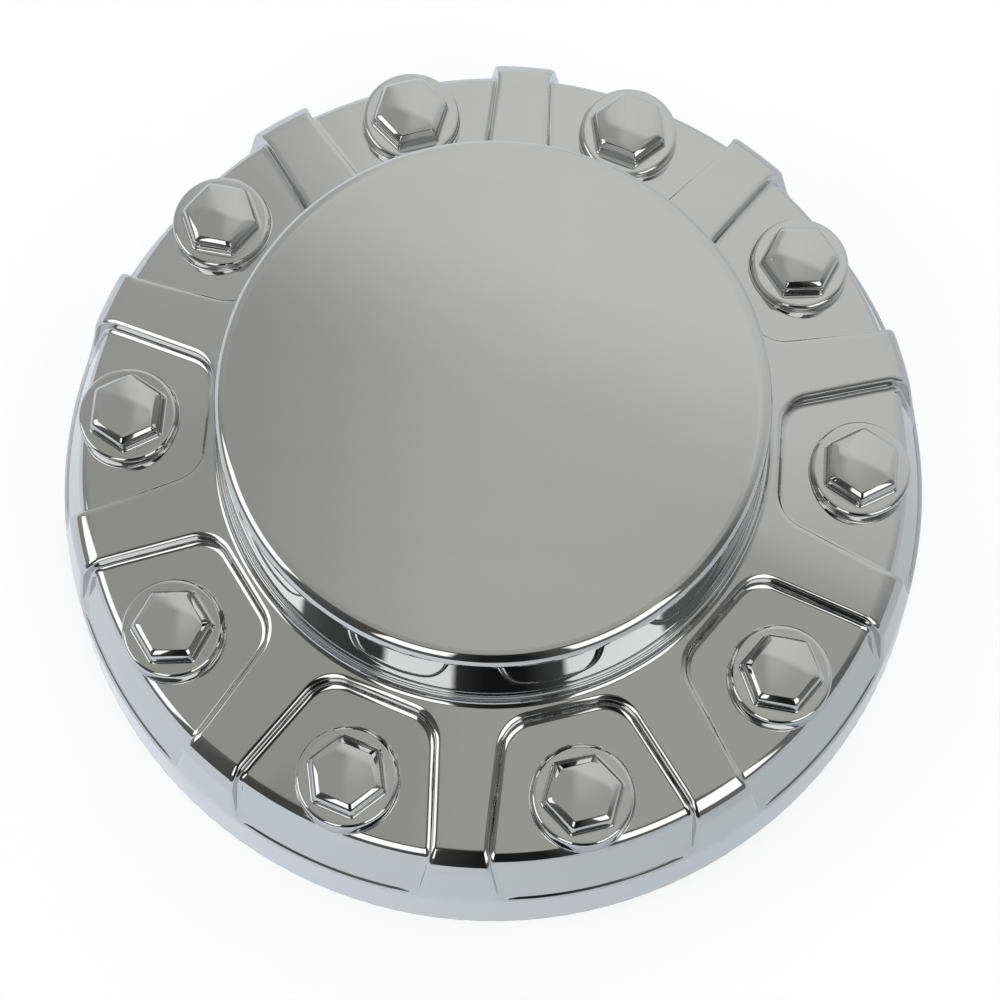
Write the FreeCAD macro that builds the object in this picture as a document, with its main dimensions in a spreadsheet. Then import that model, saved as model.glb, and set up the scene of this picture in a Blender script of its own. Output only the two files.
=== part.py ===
import FreeCAD, Part
import math
import os
import Sketcher

# Wheel center cap for a ten-lug hub: one chromed plastic moulding, rim down, dome up.
# Heights are measured from the rim plane, radii from the cap's axis. Millimetres.
doc = FreeCAD.newDocument("wheel_center_cap")

# Driving dimensions
DIMENSIONS = [
    ("rim_radius", 138.25, "outer radius at the open rim"),
    ("band_radius", 136.2, "outer radius at the top of the plain base band"),
    ("band_height", 26.5, "height of the base band, where the panel ledges lie"),
    ("band_bend", 60.0, "radius of the soft bend between band and upper wall"),
    ("shoulder_radius", 131.0, "radius of the sharp corner of wall and deck at a rib"),
    ("shoulder_height", 53.2, "height of that corner"),
    ("shoulder_round", 10.0, "rounding of that corner"),
    ("deck_height", 64.7, "height of the sloping deck where it meets the dome"),
    ("bead_radius", 83.4, "radius of the raised ring at the foot of the dome"),
    ("bead_height", 3.2, "height of that ring's edge over the deck"),
    ("bead_step", 1.1, "width of the ring's sloping top"),
    ("bead_rise", 0.8, "rise of that top from its edge to the dome"),
    ("foot_round", 2.5, "hollow rounding between deck and ring"),
    ("edge_round", 0.5, "small rounding of the ring's edges"),
    ("dome_radius", 80.9, "radius of the dome wall at its top"),
    ("dome_height", 102.7, "height of the flat top of the dome"),
    ("dome_round", 3.0, "rounding of the dome's top edge"),
    ("deck_skin", 3.1, "thickness of deck and dome top, upwards"),
    ("wall_skin", 3.2, "thickness of the upright walls, outwards"),
    ("inner_round", 1.5, "rounding inside the dome"),
    ("panel_depth", 5.4, "depth of the panels under the deck"),
    ("panel_inner_radius", 87.4, "distance of the panels' inner ends from the axis"),
    ("panel_shoulder_radius", 127.6, "radius of the sharp corner of panel floor and wall"),
    ("panel_round", 5.0, "rounding of that corner"),
    ("ledge_width", 1.0, "width of the ledge at the foot of a panel"),
    ("panel_throat_half", 16.2, "half width of a panel at its inner end, before rounding"),
    ("panel_half_width", 29.9, "half width of a panel on the outer wall"),
    ("panel_bend", 124.0, "distance from the axis where the panel sides turn parallel"),
    ("panel_bend_round", 30.0, "rounding of the panel sides there"),
    ("panel_draft", 3.0, "draft of the panel sides, degrees"),
    ("panel_corner", 9.0, "rounding of the panels' inner corners, seen from above"),
    ("panel_fillet", 1.7, "hollow rounding round the panel floor"),
    ("deck_fillet", 1.5, "rounding of the deck's edges over the panels"),
    ("rib_hollow_width", 13.0, "width of the hollow behind each rib"),
    ("nut_count", 10, "moulded lug nuts"),
    ("nut_circle_radius", 112.5, "radius of the nut circle"),
    ("flange_radius", 15.35, "radius of a nut's round flange"),
    ("flange_height", 57.9, "height of the flange tops"),
    ("flange_round", 1.0, "rounding of the flange edge"),
    ("flange_length", 12.0, "length of the flange barrel, down into the wall"),
    ("hex_flats", 21.0, "width across the flats of the hex"),
    ("hex_height", 4.9, "height of the hex corners over the flange"),
    ("crown_height", 1.4, "rise of the hex's crown over its corners"),
    ("crown_flat", 5.0, "radius of the level middle of the crown"),
    ("crown_bend", 14.0, "rounding of the crown round that middle"),
    ("hex_round", 0.9, "rounding of the hex's edges and foot"),
    ("socket_radius", 12.8, "radius of the hollow inside a flange"),
    ("hex_hollow_radius", 8.0, "radius of the hollow inside a hex"),
]

sheet = doc.addObject("Spreadsheet::Sheet", "dims")
for row, (alias, number, note) in enumerate(DIMENSIONS, start=1):
    sheet.set(f"A{row}", note)
    sheet.set(f"B{row}", str(number))
    sheet.setAlias(f"B{row}", alias)
doc.recompute()


class Size:
    """A length with the spreadsheet expression that gives it."""

    def __init__(self, text, value):
        self.text = text
        self.value = value

    def joined(self, sign, other, value):
        return Size(f"({self.text} {sign} {as_size(other).text})", value)

    def __add__(self, other):
        return self.joined("+", other, self.value + as_size(other).value)

    def __sub__(self, other):
        return self.joined("-", other, self.value - as_size(other).value)

    def __mul__(self, other):
        return self.joined("*", other, self.value * as_size(other).value)

    def __truediv__(self, other):
        return self.joined("/", other, self.value / as_size(other).value)

    def __neg__(self):
        return Size(f"(0 - {self.text})", -self.value)


def as_size(item):
    return item if isinstance(item, Size) else Size(repr(item), float(item))


D = {alias: Size(f"dims.{alias}", float(number)) for alias, number, note in DIMENSIONS}
ZERO = Size("0", 0.0)


def deck_at(radius):
    """Height of the conical deck at a radius."""
    fall = (D["deck_height"] - D["shoulder_height"]) / (D["shoulder_radius"] - D["bead_radius"])
    return D["deck_height"] - fall * (radius - D["bead_radius"])


def inset_corner(radius, height, foot_radius):
    """The inner corner under a deck and wall corner, moved in by both skins."""
    fall = (D["deck_height"] - D["shoulder_height"]) / (D["shoulder_radius"] - D["bead_radius"])
    lean = (foot_radius - radius) / (height - D["band_height"])
    inward = (D["wall_skin"] - lean * D["deck_skin"]) / (as_size(1) - lean * fall)
    return radius - inward, height - D["deck_skin"] + fall * inward


# Sketch helpers
def origin_feature(body, role):
    return [item for item in body.Origin.OriginFeatures if item.Role == role][0]


def new_sketch(body, name, plane, height=None):
    sketch = body.newObject("Sketcher::SketchObject", name)
    sketch.AttachmentSupport = [(origin_feature(body, plane), "")]
    sketch.MapMode = "FlatFace"
    if height is not None:
        sketch.setExpression("AttachmentOffset.Base.z", height.text)
    return sketch


def drive(sketch, kind, refs, size):
    """One dimension of a sketch, bound to the spreadsheet."""
    index = sketch.addConstraint(Sketcher.Constraint(kind, *refs, size.value))
    sketch.setExpression(f"Constraints[{index}]", size.text)


def pin(sketch, geometry, end, x, y):
    """Fix one point of a sketch at x, y from its origin."""
    for kind, size, axis in (("DistanceX", x, -2), ("DistanceY", y, -1)):
        if size is ZERO:
            sketch.addConstraint(Sketcher.Constraint("PointOnObject", geometry, end, axis))
        elif size.value > 0:
            drive(sketch, kind, (-1, 1, geometry, end), size)
        else:
            drive(sketch, kind, (geometry, end, -1, 1), -size)


def end_at(sketch, geometry, point):
    """Which end of a line or arc lies at a point."""
    gaps = [(sketch.getPoint(geometry, end) - point).Length for end in (1, 2)]
    return 1 if gaps[0] < gaps[1] else 2


def add_outline(sketch, corners):
    """Closed outline through corners (x, y, rounding or None), each bound to its sizes."""
    spots = [FreeCAD.Vector(x.value, y.value, 0) for x, y, rounding in corners]
    count = len(corners)
    leave = list(spots)
    reach = list(spots)
    middle = list(spots)
    for i, (x, y, rounding) in enumerate(corners):
        if rounding is None:
            continue
        back = (spots[i - 1] - spots[i]).normalize()
        ahead = (spots[(i + 1) % count] - spots[i]).normalize()
        half = back.getAngle(ahead) / 2
        reach[i] = spots[i] + back * (rounding.value / math.tan(half))
        leave[i] = spots[i] + ahead * (rounding.value / math.tan(half))
        inward = (back + ahead).normalize()
        middle[i] = spots[i] + inward * (rounding.value / math.sin(half) - rounding.value)
    lines = [
        sketch.addGeometry(Part.LineSegment(leave[i], reach[(i + 1) % count]), False)
        for i in range(count)
    ]
    for i, (x, y, rounding) in enumerate(corners):
        before, after = lines[i - 1], lines[i]
        if rounding is None:
            sketch.addConstraint(Sketcher.Constraint("Coincident", before, 2, after, 1))
            pin(sketch, after, 1, x, y)
            continue
        arc = sketch.addGeometry(Part.Arc(reach[i], middle[i], leave[i]), False)
        corner = sketch.addGeometry(Part.Point(spots[i]), True)
        pin(sketch, corner, 1, x, y)
        start = end_at(sketch, arc, reach[i])
        sketch.addConstraint(Sketcher.Constraint("PointOnObject", corner, 1, before))
        sketch.addConstraint(Sketcher.Constraint("PointOnObject", corner, 1, after))
        sketch.addConstraint(Sketcher.Constraint("Tangent", before, 2, arc, start))
        sketch.addConstraint(Sketcher.Constraint("Tangent", after, 1, arc, 3 - start))
        drive(sketch, "Radius", (arc,), rounding)


def new_body(name):
    return doc.addObject("PartDesign::Body", name)


def turned_body(name, corners):
    """A solid of revolution about the cap's axis."""
    body = new_body(name)
    sketch = new_sketch(body, f"{name}_section", "YZ_Plane")
    add_outline(sketch, corners)
    turn = body.newObject("PartDesign::Revolution", f"{name}_turn")
    turn.Profile = sketch
    turn.ReferenceAxis = (sketch, ["V_Axis"])
    turn.Angle = 360
    return body


def turned_at_nut(name, corners):
    """A solid of revolution about a nut's own axis; x is measured from that axis."""
    body = new_body(name)
    sketch = new_sketch(body, f"{name}_section", "XZ_Plane")
    centre = D["nut_circle_radius"]
    low = FreeCAD.Vector(centre.value, 0, 0)
    high = FreeCAD.Vector(centre.value, D["dome_height"].value, 0)
    axis = sketch.addGeometry(Part.LineSegment(low, high), True)
    pin(sketch, axis, 1, centre, ZERO)
    pin(sketch, axis, 2, centre, D["dome_height"])
    add_outline(sketch, [(centre + x, y, rounding) for x, y, rounding in corners])
    turn = body.newObject("PartDesign::Revolution", f"{name}_turn")
    turn.Profile = sketch
    turn.ReferenceAxis = (sketch, ["Axis0"])
    turn.Angle = 360
    return body


def repeat_round(body):
    """Repeat a body's whole shape once for every nut."""
    pattern = body.newObject("PartDesign::PolarPattern", f"{body.Name}_ring")
    pattern.Originals = []
    pattern.TransformMode = "Whole shape"
    pattern.Axis = (origin_feature(body, "Z_Axis"), [""])
    pattern.Angle = 360
    pattern.setExpression("Occurrences", "dims.nut_count")
    body.Tip = pattern
    doc.recompute()
    return pattern


# The turned shell: band, wall, conical deck, bead and dome outside, an even skin inside
panel_shoulder_height = deck_at(D["panel_shoulder_radius"]) - D["panel_depth"]
ledge_radius = D["band_radius"] - D["ledge_width"]
bead_top = deck_at(D["bead_radius"]) + D["bead_height"]
dome_foot = D["bead_radius"] - D["bead_step"]
inner_corner = inset_corner(D["panel_shoulder_radius"], panel_shoulder_height, ledge_radius)
gutter_radius = D["panel_inner_radius"] - D["wall_skin"]
dome_inner_foot = dome_foot - D["wall_skin"]
shell = turned_body("shell", [
    (D["rim_radius"], ZERO, None),
    (D["band_radius"], D["band_height"], D["band_bend"]),
    (D["shoulder_radius"], D["shoulder_height"], D["shoulder_round"]),
    (D["bead_radius"], D["deck_height"], D["foot_round"]),
    (D["bead_radius"], bead_top, D["edge_round"]),
    (dome_foot, bead_top + D["bead_rise"], D["edge_round"]),
    (D["dome_radius"], D["dome_height"], D["dome_round"]),
    (ZERO, D["dome_height"], None),
    (ZERO, D["dome_height"] - D["deck_skin"], None),
    (D["dome_radius"] - D["wall_skin"], D["dome_height"] - D["deck_skin"], D["inner_round"]),
    (dome_inner_foot, deck_at(dome_inner_foot) - D["deck_skin"], D["edge_round"]),
    (gutter_radius, deck_at(gutter_radius) - D["deck_skin"], None),
    (gutter_radius, deck_at(gutter_radius) - D["deck_skin"] - D["panel_depth"], None),
    (inner_corner[0], inner_corner[1], D["panel_round"] - D["deck_skin"]),
    (ledge_radius - D["wall_skin"], D["band_height"], None),
    (D["rim_radius"] - D["wall_skin"], ZERO, None),
])

# The panels: what lies over the panel floor, cut to ten windows that are open at the outer wall
margin = as_size(8)
sky = D["dome_height"]
outer_reach = D["band_radius"] * 1.25
space_radius = D["bead_radius"] - margin
panel_space = turned_body("panel_space", [
    (space_radius, deck_at(space_radius) - D["panel_depth"], None),
    (D["panel_shoulder_radius"], panel_shoulder_height, D["panel_round"]),
    (ledge_radius, D["band_height"], None),
    (outer_reach, D["band_height"], None),
    (outer_reach, sky, None),
    (space_radius, sky, None),
])

windows = new_body("windows")
side_slope = (D["panel_half_width"] - D["panel_throat_half"]) / (D["panel_bend"] - D["panel_inner_radius"])
draft_lean = Size("tan(dims.panel_draft * 1 deg)", math.tan(math.radians(D["panel_draft"].value)))
draft_shift = (deck_at(D["panel_inner_radius"]) - D["band_height"]) * draft_lean
window_start = D["panel_inner_radius"] + draft_shift
window_start_half = D["panel_throat_half"] + side_slope * draft_shift
window_end = outer_reach + margin
window_sketch = new_sketch(windows, "window_outline", "XY_Plane", D["band_height"])
add_outline(window_sketch, [
    (window_start, -window_start_half, D["panel_corner"]),
    (D["panel_bend"], -D["panel_half_width"], D["panel_bend_round"]),
    (window_end, -D["panel_half_width"], None),
    (window_end, D["panel_half_width"], None),
    (D["panel_bend"], D["panel_half_width"], D["panel_bend_round"]),
    (window_start, window_start_half, D["panel_corner"]),
])
window_pad = windows.newObject("PartDesign::Pad", "window_pad")
window_pad.Profile = window_sketch
window_pad.setExpression("Length", (sky - D["band_height"]).text)
window_pad.setExpression("TaperAngle", "dims.panel_draft")
repeat_round(windows)

panel_blanks = doc.addObject("Part::Common", "panel_blanks")
panel_blanks.Base = panel_space
panel_blanks.Tool = windows
doc.recompute()


def rounded(name, base, groups):
    """Round edges of a shape; groups hold a test for an edge and the sheet's rounding for it."""
    fillet = doc.addObject("Part::Fillet", name)
    fillet.Base = base
    edges = []
    for is_wanted, rounding in groups:
        for number, edge in enumerate(base.Shape.Edges, start=1):
            if is_wanted(base.Shape, edge):
                edges.append((number, rounding.value, rounding.value))
    fillet.Edges = edges
    doc.recompute()
    return fillet


def middle_of(edge):
    return edge.valueAt((edge.FirstParameter + edge.LastParameter) / 2)


def off_axis(point):
    return math.hypot(point.x, point.y)


def is_floor(face):
    """The conical floor and outer face of a panel and the rounding between them."""
    turned = face.Surface.TypeId in ("Part::GeomCone", "Part::GeomToroid")
    return turned and off_axis(face.Surface.Center) < 0.001


def is_floor_edge(blanks, edge):
    """Edges where a panel's sides rise from its floor, without the ledge."""
    if all(vertex.Point.z < D["band_height"].value + 0.001 for vertex in edge.Vertexes):
        return False
    faces = blanks.ancestorsOfType(edge, Part.Face)
    return len(faces) == 2 and is_floor(faces[0]) != is_floor(faces[1])


panel_cutters = rounded("panel_cutters", panel_blanks, [(is_floor_edge, D["panel_fillet"])])

# The hollow behind each rib keeps the skin even there
rib_corner = inset_corner(D["shoulder_radius"], D["shoulder_height"], D["band_radius"])
below = as_size(2)
rib_space = turned_body("rib_space", [
    (gutter_radius - below, deck_at(gutter_radius - below) - D["deck_skin"], None),
    (rib_corner[0], rib_corner[1], D["shoulder_round"] - D["deck_skin"]),
    (D["band_radius"] - D["wall_skin"], D["band_height"], None),
    (ledge_radius - D["wall_skin"] - below, D["band_height"], None),
    (inner_corner[0] - below, inner_corner[1] - below, None),
    (gutter_radius - below, deck_at(gutter_radius) - D["panel_depth"] - D["deck_skin"] - below, None),
])

rib_slots = new_body("rib_slots")
slot_half = D["rib_hollow_width"] / 2
slot_sketch = new_sketch(rib_slots, "slot_outline", "XY_Plane")
add_outline(slot_sketch, [
    (-outer_reach, -slot_half, None),
    (-(gutter_radius - below - below), -slot_half, None),
    (-(gutter_radius - below - below), slot_half, None),
    (-outer_reach, slot_half, None),
])
slot_pad = rib_slots.newObject("PartDesign::Pad", "slot_pad")
slot_pad.Profile = slot_sketch
slot_pad.setExpression("Length", "dims.dome_height")
repeat_round(rib_slots)
# Turn the slots by half a step, from the nuts to the ribs
rib_slots.Placement.Rotation = FreeCAD.Rotation(FreeCAD.Vector(0, 0, 1), 0)
rib_slots.setExpression("Placement.Rotation.Angle", "180 / dims.nut_count + 180")

rib_hollows = doc.addObject("Part::Common", "rib_hollows")
rib_hollows.Base = rib_space
rib_hollows.Tool = rib_slots

# The moulded nuts: a round flange with a crowned hex on it
flange_foot = D["flange_height"] - D["flange_length"]
hex_corner_radius = D["hex_flats"] / math.sqrt(3)
cap_radius = hex_corner_radius + D["flange_round"]
crown_top = D["flange_height"] + D["hex_height"] + D["crown_height"]
nuts = turned_at_nut("nuts", [
    (ZERO, flange_foot, None),
    (D["flange_radius"], flange_foot, None),
    (D["flange_radius"], D["flange_height"], D["flange_round"]),
    (cap_radius, D["flange_height"], None),
    (cap_radius, D["flange_height"] + D["hex_height"], None),
    (D["crown_flat"], crown_top, D["crown_bend"]),
    (ZERO, crown_top, None),
])
hex_sketch = new_sketch(nuts, "hex_outline", "XY_Plane", crown_top)
ring_centre = FreeCAD.Vector(D["nut_circle_radius"].value, 0, 0)
ring = hex_sketch.addGeometry(
    Part.Circle(ring_centre, FreeCAD.Vector(0, 0, 1), (cap_radius + margin / 4).value), False)
pin(hex_sketch, ring, 3, D["nut_circle_radius"], ZERO)
drive(hex_sketch, "Radius", (ring,), cap_radius + margin / 4)
half_flats = D["hex_flats"] / 2
half_side = hex_corner_radius / 2
add_outline(hex_sketch, [
    (D["nut_circle_radius"] + half_flats, -half_side, None),
    (D["nut_circle_radius"] + half_flats, half_side, None),
    (D["nut_circle_radius"], hex_corner_radius, None),
    (D["nut_circle_radius"] - half_flats, half_side, None),
    (D["nut_circle_radius"] - half_flats, -half_side, None),
    (D["nut_circle_radius"], -hex_corner_radius, None),
])
hex_cut = nuts.newObject("PartDesign::Pocket", "hex_cut")
hex_cut.Profile = hex_sketch
hex_cut.setExpression("Length", (crown_top - D["flange_height"]).text)
doc.recompute()


def is_hex_edge(edge):
    """Upright, upper and lower edges of the hex."""
    ends = [vertex.Point for vertex in edge.Vertexes]
    if len(ends) < 2:
        return False
    from_nut = [point - ring_centre for point in ends]
    at_corners = all(abs(math.hypot(p.x, p.y) - hex_corner_radius.value) < 0.01 for p in from_nut)
    return at_corners and all(point.z > D["flange_height"].value - 0.01 for point in ends)


hex_edges = nuts.newObject("PartDesign::Fillet", "hex_edges")
hex_edges.Base = (hex_cut, [
    f"Edge{number}" for number, edge in enumerate(hex_cut.Shape.Edges, start=1) if is_hex_edge(edge)
])
hex_edges.setExpression("Radius", "dims.hex_round")
nuts.Tip = hex_edges
repeat_round(nuts)

# The hollows inside the nuts
flange_roof = D["flange_height"] - D["deck_skin"]
sockets = turned_at_nut("sockets", [
    (ZERO, flange_foot - margin, None),
    (D["socket_radius"], flange_foot - margin, None),
    (D["socket_radius"], flange_roof, D["edge_round"]),
    (D["hex_hollow_radius"], flange_roof, None),
    (D["hex_hollow_radius"], crown_top - D["deck_skin"], D["inner_round"]),
    (ZERO, crown_top - D["deck_skin"], None),
])
repeat_round(sockets)

# One moulding
pressed = doc.addObject("Part::Cut", "pressed")
pressed.Base = shell
pressed.Tool = panel_cutters
doc.recompute()
outer_skin = shell.Shape.Shells[0]


def is_deck_edge(body, edge):
    """Edges of deck and wall over the panels, without the ledge."""
    middle = middle_of(edge)
    if off_axis(middle) < D["bead_radius"].value + 1 or middle.z < D["band_height"].value + 0.5:
        return False
    faces = body.ancestorsOfType(edge, Part.Face)
    if len(faces) != 2 or is_floor(faces[0]) == is_floor(faces[1]):
        return False
    return outer_skin.distToShape(Part.Vertex(middle))[0] < 0.01


pressed_edges = rounded("pressed_edges", pressed, [(is_deck_edge, D["deck_fillet"])])
with_nuts = doc.addObject("Part::Fuse", "with_nuts")
with_nuts.Base = pressed_edges
with_nuts.Tool = nuts
hollows = doc.addObject("Part::MultiFuse", "hollows")
hollows.Shapes = [rib_hollows, sockets]
center_cap = doc.addObject("Part::Cut", "center_cap")
center_cap.Base = with_nuts
center_cap.Tool = hollows
center_cap.Refine = True
center_cap.Label = "center_cap"
doc.recompute()

for item in doc.Objects:
    if "Invalid" in item.State or "Error" in item.State:
        raise RuntimeError(f"{item.Name} did not build: {item.State}")
shape = center_cap.Shape
if shape.isNull() or not shape.isValid() or len(shape.Solids) != 1:
    raise RuntimeError("the cap is not one valid solid")

os.makedirs("parts", exist_ok=True)
shape.exportStep("parts/center_cap.step")
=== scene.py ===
import math

import bmesh
import bpy
import numpy as np
from mathutils import Matrix, Vector
from mathutils.kdtree import KDTree


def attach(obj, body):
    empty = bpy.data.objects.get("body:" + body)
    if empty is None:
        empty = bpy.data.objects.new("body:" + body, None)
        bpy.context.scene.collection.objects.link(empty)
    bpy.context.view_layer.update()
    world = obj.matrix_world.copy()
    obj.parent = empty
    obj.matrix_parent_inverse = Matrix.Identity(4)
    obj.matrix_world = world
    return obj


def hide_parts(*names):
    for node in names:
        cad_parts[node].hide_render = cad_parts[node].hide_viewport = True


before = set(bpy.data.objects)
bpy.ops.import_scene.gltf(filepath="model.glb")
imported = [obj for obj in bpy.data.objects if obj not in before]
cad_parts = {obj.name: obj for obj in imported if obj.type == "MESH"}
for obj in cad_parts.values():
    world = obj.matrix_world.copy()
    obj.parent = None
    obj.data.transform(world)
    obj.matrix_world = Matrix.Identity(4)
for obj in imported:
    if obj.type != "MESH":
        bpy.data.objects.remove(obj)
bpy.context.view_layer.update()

scene = bpy.context.scene

# The outer skin of the cap: one injection moulding in plastic, electroplated with bright chrome.
# A conical deck with ten ribs and ten sunk panels runs over a round shoulder into the outer wall
# and the plain base band. Sizes are in millimetres, radius and height in the cap's own frame.
MM = 0.001
SECTORS = 10
HALF_SECTOR = math.pi / SECTORS


def straight(start, end, count):
    """Points of a straight run, without its last point."""
    share = np.linspace(0, 1, count, endpoint=False)[:, None]
    return np.array(start) * (1 - share) + np.array(end) * share


def corner_points(before, corner, after, rounding, count):
    """Points of the arc that rounds a corner, both ends included."""
    corner = np.array(corner, float)
    back = np.array(before) - corner
    ahead = np.array(after) - corner
    back /= np.linalg.norm(back)
    ahead /= np.linalg.norm(ahead)
    half = math.acos(np.clip(back @ ahead, -1, 1)) / 2
    middle = (back + ahead) / np.linalg.norm(back + ahead)
    centre = corner + middle * rounding / math.sin(half)
    first = corner + back * rounding / math.tan(half) - centre
    last = corner + ahead * rounding / math.tan(half) - centre
    start = math.atan2(first[1], first[0])
    sweep = math.atan2(last[1], last[0]) - start
    sweep = (sweep + math.pi) % (2 * math.pi) - math.pi
    angles = start + sweep * np.linspace(0, 1, count)
    return centre + rounding * np.stack([np.cos(angles), np.sin(angles)], axis=1)


RIM = (138.2, 0.0)
BAND_TOP = (136.2, 26.5)
RIB_SHOULDER = (131.0, 53.2)
RIB_SHOULDER_ROUND = 10.0
BAND_BEND = 60.0
BEAD_FOOT = (83.4, 64.7)
BEAD_FOOT_ROUND = 2.5
BEAD_FOOT_STEPS = 9
ABOVE_BEAD_FOOT = (BEAD_FOOT[0], 70.0)
FALL = (BEAD_FOOT[1] - RIB_SHOULDER[1]) / (RIB_SHOULDER[0] - BEAD_FOOT[0])
PANEL_DEPTH = 5.4
PANEL_SHOULDER_RADIUS = 127.6
PANEL_SHOULDER_HEIGHT = BEAD_FOOT[1] - FALL * (PANEL_SHOULDER_RADIUS - BEAD_FOOT[0]) - PANEL_DEPTH
PANEL_SHOULDER = (PANEL_SHOULDER_RADIUS, PANEL_SHOULDER_HEIGHT)
PANEL_SHOULDER_ROUND = 5.0
LEDGE = (135.2, 26.5)
DECK_STEPS = 200
SHOULDER_STEPS = 60
WALL_STEPS = 80
BEND_HALF_STEPS = 20

# Two profiles in step with each other: down the middle of a rib, and down the middle of a panel
foot_arc = corner_points(ABOVE_BEAD_FOOT, BEAD_FOOT, RIB_SHOULDER, BEAD_FOOT_ROUND, BEAD_FOOT_STEPS)
deck_start = foot_arc[-1]
rib_arc = corner_points(BEAD_FOOT, RIB_SHOULDER, BAND_TOP, RIB_SHOULDER_ROUND, SHOULDER_STEPS)
bend_arc = corner_points(RIB_SHOULDER, BAND_TOP, RIM, BAND_BEND, 2 * BEND_HALF_STEPS + 1)
rib_runs = [
    straight(deck_start, rib_arc[0], DECK_STEPS),
    rib_arc[:-1],
    np.vstack([straight(rib_arc[-1], bend_arc[0], WALL_STEPS), bend_arc[:BEND_HALF_STEPS]]),
    np.vstack([bend_arc[BEND_HALF_STEPS:-1], straight(bend_arc[-1], RIM, WALL_STEPS), [RIM]]),
]
floor_start = deck_start - np.array([0, PANEL_DEPTH])
panel_arc = corner_points(floor_start, PANEL_SHOULDER, LEDGE, PANEL_SHOULDER_ROUND, SHOULDER_STEPS)
panel_runs = [
    straight(floor_start, panel_arc[0], DECK_STEPS),
    panel_arc[:-1],
    straight(panel_arc[-1], LEDGE, WALL_STEPS + BEND_HALF_STEPS),
    rib_runs[3] + (np.array(LEDGE) - rib_runs[3][0]),
]
rib_line = np.vstack(rib_runs)
panel_line = np.vstack(panel_runs)
steps = np.linalg.norm(np.diff(rib_line, axis=0), axis=1)
along = np.concatenate([[0], np.cumsum(steps)])
ledge_along = along[sum(len(run) for run in rib_runs[:3])]

# The step of a panel dies away round its two lower corners
CORNER_RUN = ledge_along - 1.2
CORNER_SIDE = 29.6
CORNER_REACH = 2.6
CORNER_FADE = 0.9


def skin_point(run, side, sunk):
    """Point of the skin: run along the rib's line, side off the panel's middle, sunk 0 to 1."""
    off_corner = np.hypot(run - CORNER_RUN, np.abs(side) - CORNER_SIDE) / CORNER_REACH
    sunk = sunk * (1 - CORNER_FADE * np.exp(-off_corner ** 2))
    rib_radius, rib_height = (np.interp(run, along, column) for column in rib_line.T)
    panel_radius, panel_height = (np.interp(run, along, column) for column in panel_line.T)
    radius = rib_radius * (1 - sunk) + panel_radius * sunk
    height = rib_height * (1 - sunk) + panel_height * sunk
    return np.stack([np.sqrt(radius ** 2 - side ** 2), side, height], axis=-1)


# A panel's sides slant outwards over the deck and turn nearly upright, with draft, on the outer wall
SLANT_RADIUS = 106.0
SLANT_HALF = 24.8
SIDE_SLANT = 0.372
LEDGE_HALF = 29.9
SIDE_DRAFT = 0.0524
SIDE_BLEND = 0.6


def panel_half_width(run):
    """Half width of a panel at the middle of its side walls."""
    middle = skin_point(run, 0 * run, 0 * run + 0.5)
    radius, height = middle[..., 0], middle[..., 2]
    slanted = 0.2 * radius
    for turn in range(12):
        slanted = SLANT_HALF + SIDE_SLANT * (np.sqrt(radius ** 2 - slanted ** 2) - SLANT_RADIUS)
    upright = LEDGE_HALF + SIDE_DRAFT * (height - LEDGE[1])
    weights = np.exp((LEDGE_HALF - slanted) / SIDE_BLEND) + np.exp((LEDGE_HALF - upright) / SIDE_BLEND)
    return LEDGE_HALF - SIDE_BLEND * np.log(weights)


# Half of one panel's outline, from the middle of its straight inner end to the middle of its ledge
PANEL_END = 87.4
END_CORNER_ROUND = 10.5
LEDGE_CORNER_ROUND = 3.0
ARC_STEPS = 9
TOP_STEPS = 10
LEDGE_STEPS = 10
DECK_SIDE_STEPS = 13
SHOULDER_SIDE_STEPS = 22
WALL_SIDE_STEPS = 13


def run_at(radius):
    """Run along the rib's line at a radius on the deck."""
    return np.interp(radius, rib_line[:DECK_STEPS, 0], along[:DECK_STEPS])


end_half = SLANT_HALF + SIDE_SLANT * (PANEL_END - SLANT_RADIUS)
end_middle, end_corner = (PANEL_END, 0.0), (PANEL_END, end_half)
end_beside = (PANEL_END + 1.0, end_half + SIDE_SLANT)
end_plan = corner_points(end_middle, end_corner, end_beside, END_CORNER_ROUND, 2 * ARC_STEPS + 1)
top_corner = np.stack([run_at(np.hypot(end_plan[:, 0], end_plan[:, 1])), end_plan[:, 1]], axis=1)
low_half = float(panel_half_width(np.array(ledge_along)))
over_ledge = ledge_along - 2 * LEDGE_CORNER_ROUND
low_above = (over_ledge, float(panel_half_width(np.array(over_ledge))))
low_point, low_middle = (ledge_along, low_half), (ledge_along, 0.0)
low_corner = corner_points(low_above, low_point, low_middle, LEDGE_CORNER_ROUND, 2 * ARC_STEPS + 1)
shoulder_from = along[len(rib_runs[0])] - 1
shoulder_to = along[len(rib_runs[0]) + len(rib_runs[1])] + 1
side_runs = np.concatenate([
    np.linspace(top_corner[-1, 0], shoulder_from, DECK_SIDE_STEPS)[1:],
    np.linspace(shoulder_from, shoulder_to, SHOULDER_SIDE_STEPS)[1:],
    np.linspace(shoulder_to, low_corner[0, 0], WALL_SIDE_STEPS)[1:-1],
])
side = np.stack([side_runs, panel_half_width(side_runs)], axis=1)
top_sides = np.linspace(0, top_corner[0, 1], TOP_STEPS, endpoint=False)
top_edge = np.stack([run_at(np.hypot(PANEL_END, top_sides)), top_sides], axis=1)
low_sides = np.linspace(low_corner[-1, 1], 0, LEDGE_STEPS + 1)[1:]
low_edge = np.stack([np.full(LEDGE_STEPS, ledge_along), low_sides], axis=1)
half_outline = np.vstack([top_edge, top_corner, side, low_corner, low_edge])
top_half_count = TOP_STEPS + ARC_STEPS
low_half_count = LEDGE_STEPS + ARC_STEPS
side_count = len(half_outline) - 1 - top_half_count - low_half_count
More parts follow.
